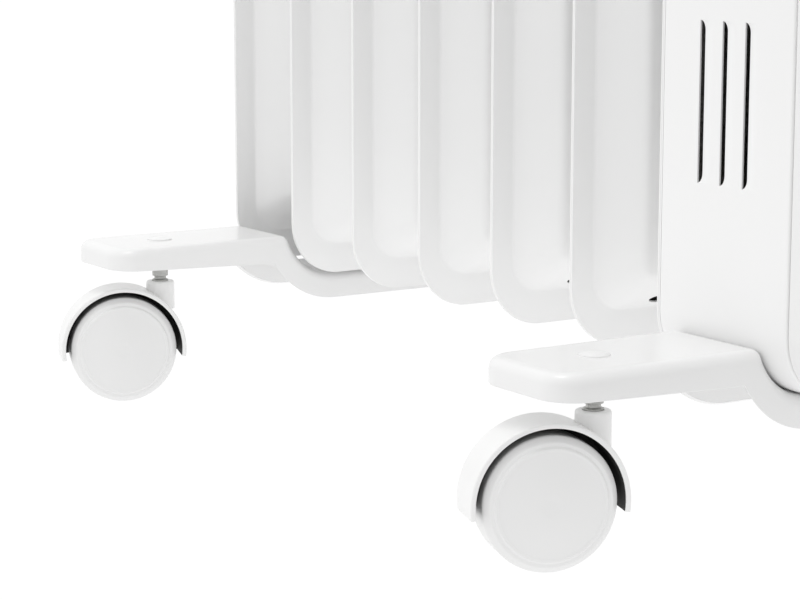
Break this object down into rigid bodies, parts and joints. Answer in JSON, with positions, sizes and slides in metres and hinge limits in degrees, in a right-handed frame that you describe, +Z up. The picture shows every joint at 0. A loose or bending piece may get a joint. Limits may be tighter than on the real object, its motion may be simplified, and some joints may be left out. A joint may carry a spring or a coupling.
{
  "type": "oil filled radiator heater",
  "caption": "Free-standing oil filled radiator with pressed fins, a control housing, two pressed feet and hooded swivel castors.",
  "frame": {"origin": "on the floor, under the middle of the heater's bounding box", "axes": "+X along the stack of fins towards the control housing's front face, +Y across the fins, +Z up"},
  "size_m": [0.3786, 0.311, 0.6363],
  "materials": {
    "white_paint": "smooth semi-gloss enamel",
    "white_plastic": "smooth satin moulding",
    "wheel_plastic": "fine satin moulding",
    "grey_plastic": "fine texture",
    "bright_steel": "bright plated",
    "zinc_steel": "dull zinc plated",
    "black_plastic": "fine texture",
    "amber_lens": "clear amber",
    "brass": "turned"
  },
  "bodies": {
    "heater": {"fin_1_rear_sheet": "white_paint", "fin_1_front_sheet": "white_paint", "fin_2_rear_sheet": "white_paint", "fin_2_front_sheet": "white_paint", "fin_3_rear_sheet": "white_paint", "fin_3_front_sheet": "white_paint", "fin_4_rear_sheet": "white_paint", "fin_4_front_sheet": "white_paint", "fin_5_rear_sheet": "white_paint", "fin_5_front_sheet": "white_paint", "fin_6_rear_sheet": "white_paint", "fin_6_front_sheet": "white_paint", "fin_7_rear_sheet": "white_paint", "fin_7_front_sheet": "white_paint", "rear_foot_bracket": "white_paint", "front_foot_bracket": "white_paint", "control_housing": "white_paint", "front_cover": "white_plastic", "carry_handle": "white_plastic", "castor_rear_left_stem": "bright_steel", "castor_rear_right_stem": "bright_steel", "castor_front_left_stem": "bright_steel", "castor_front_right_stem": "bright_steel", "element_boss": "zinc_steel", "oil_filler_plug": "zinc_steel", "rear_foot_wing_nut_left": "zinc_steel", "rear_foot_wing_nut_right": "zinc_steel", "rear_foot_cradle": "zinc_steel", "front_foot_screw_left": "zinc_steel", "front_foot_screw_right": "zinc_steel", "front_foot_nut_plate": "zinc_steel", "heat_shield": "zinc_steel", "thermal_cutout": "zinc_steel", "heating_element": "bright_steel", "rear_foot_u_bolt": "bright_steel", "control_panel": "grey_plastic", "thermostat_body": "black_plastic", "switch_frame": "black_plastic", "terminal_block": "black_plastic", "tip_over_switch": "black_plastic", "cord_gland": "black_plastic", "pilot_light": "amber_lens"},
    "castor_rear_left_fork": {"castor_rear_left_hood": "white_plastic", "castor_rear_left_axle": "bright_steel"},
    "castor_rear_left_roller": {"castor_rear_left_wheel": "wheel_plastic"},
    "castor_rear_right_fork": {"castor_rear_right_hood": "white_plastic", "castor_rear_right_axle": "bright_steel"},
    "castor_rear_right_roller": {"castor_rear_right_wheel": "wheel_plastic"},
    "castor_front_left_fork": {"castor_front_left_hood": "white_plastic", "castor_front_left_axle": "bright_steel"},
    "castor_front_left_roller": {"castor_front_left_wheel": "wheel_plastic"},
    "castor_front_right_fork": {"castor_front_right_hood": "white_plastic", "castor_front_right_axle": "bright_steel"},
    "castor_front_right_roller": {"castor_front_right_wheel": "wheel_plastic"},
    "thermostat_dial": {"thermostat_knob": "white_plastic", "thermostat_spindle": "bright_steel"},
    "rocker_low": {"power_rocker_low": "white_plastic"},
    "rocker_high": {"power_rocker_high": "white_plastic"},
    "tip_weight": {"tip_over_weight": "brass"}
  },
  "joints": [
    {"name": "castor_rear_left_swivel", "type": "hinge", "parent": "heater", "child": "castor_rear_left_fork", "pos_m": [-0.1544, -0.1158, 0.046], "axis": [0, 0, 1], "continuous": true},
    {"name": "castor_rear_left_roll", "type": "hinge", "parent": "castor_rear_left_fork", "child": "castor_rear_left_roller", "pos_m": [-0.15941, -0.13036, 0.02], "axis": [0.9455, -0.3256, 0], "continuous": true},
    {"name": "castor_rear_right_swivel", "type": "hinge", "parent": "heater", "child": "castor_rear_right_fork", "pos_m": [-0.1544, 0.1158, 0.046], "axis": [0, 0, 1], "continuous": true},
    {"name": "castor_rear_right_roll", "type": "hinge", "parent": "castor_rear_right_fork", "child": "castor_rear_right_roller", "pos_m": [-0.15941, 0.13036, 0.02], "axis": [-0.9455, -0.3256, 0], "continuous": true},
    {"name": "castor_front_left_swivel", "type": "hinge", "parent": "heater", "child": "castor_front_left_fork", "pos_m": [0.11835, -0.1158, 0.046], "axis": [0, 0, 1], "continuous": true},
    {"name": "castor_front_left_roll", "type": "hinge", "parent": "castor_front_left_fork", "child": "castor_front_left_roller", "pos_m": [0.11334, -0.13036, 0.02], "axis": [0.9455, -0.3256, 0], "continuous": true},
    {"name": "castor_front_right_swivel", "type": "hinge", "parent": "heater", "child": "castor_front_right_fork", "pos_m": [0.11835, 0.1158, 0.046], "axis": [0, 0, 1], "continuous": true},
    {"name": "castor_front_right_roll", "type": "hinge", "parent": "castor_front_right_fork", "child": "castor_front_right_roller", "pos_m": [0.11334, 0.13036, 0.02], "axis": [-0.9455, -0.3256, 0], "continuous": true},
    {"name": "thermostat_turn", "type": "hinge", "parent": "heater", "child": "thermostat_dial", "pos_m": [0.17525, 0, 0.496], "axis": [-1, 0, 0], "range_deg": [0, 270]},
    {"name": "rocker_low_press", "type": "hinge", "parent": "heater", "child": "rocker_low", "pos_m": [0.17185, -0.0155, 0.54], "axis": [0, 1, 0], "range_deg": [0, 12]},
    {"name": "rocker_high_press", "type": "hinge", "parent": "heater", "child": "rocker_high", "pos_m": [0.17185, 0.0155, 0.54], "axis": [0, 1, 0], "range_deg": [0, 12]},
    {"name": "tip_over_swing", "type": "hinge", "parent": "heater", "child": "tip_weight", "pos_m": [0.12045, 0.034, 0.128], "axis": [1, 0, 0], "range_deg": [-30, 30]}
  ]
}
